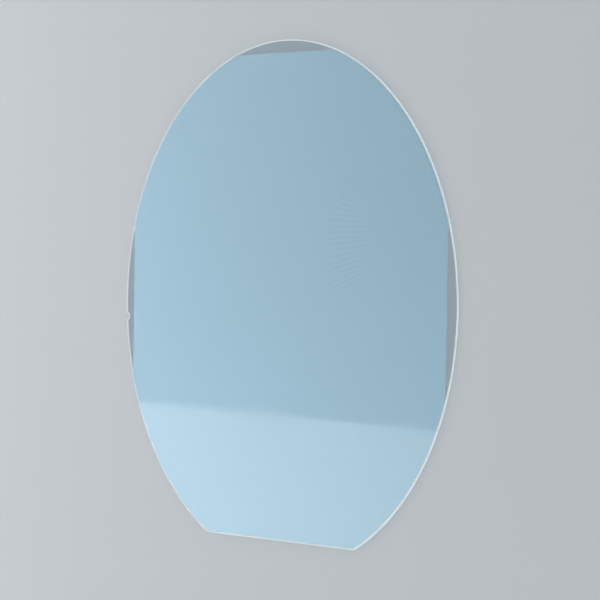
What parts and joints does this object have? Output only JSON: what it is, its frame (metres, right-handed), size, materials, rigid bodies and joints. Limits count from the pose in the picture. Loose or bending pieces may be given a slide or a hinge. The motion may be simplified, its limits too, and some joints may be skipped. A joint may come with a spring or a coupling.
{
  "type": "glass carrier wafer",
  "caption": "A thin round glass carrier wafer with a flat ground along one side, a small alignment notch and a finely etched hazy field",
  "frame": {"origin": "centre of the round plate on its back face (mount back_face)", "axes": "+Z through the thickness to the front face that carries the hazy field, -Y square out of the flat, +X along the longest extent, with the notch close to -X"},
  "size_m": [0.2, 0.1897, 0.0007],
  "materials": {
    "glass": "polished clear faces, with a fine translucent haze in a 190 mm square field on the front face and a ground edge"
  },
  "bodies": {
    "root": {"glass_wafer": "glass"}
  },
  "joints": []
}
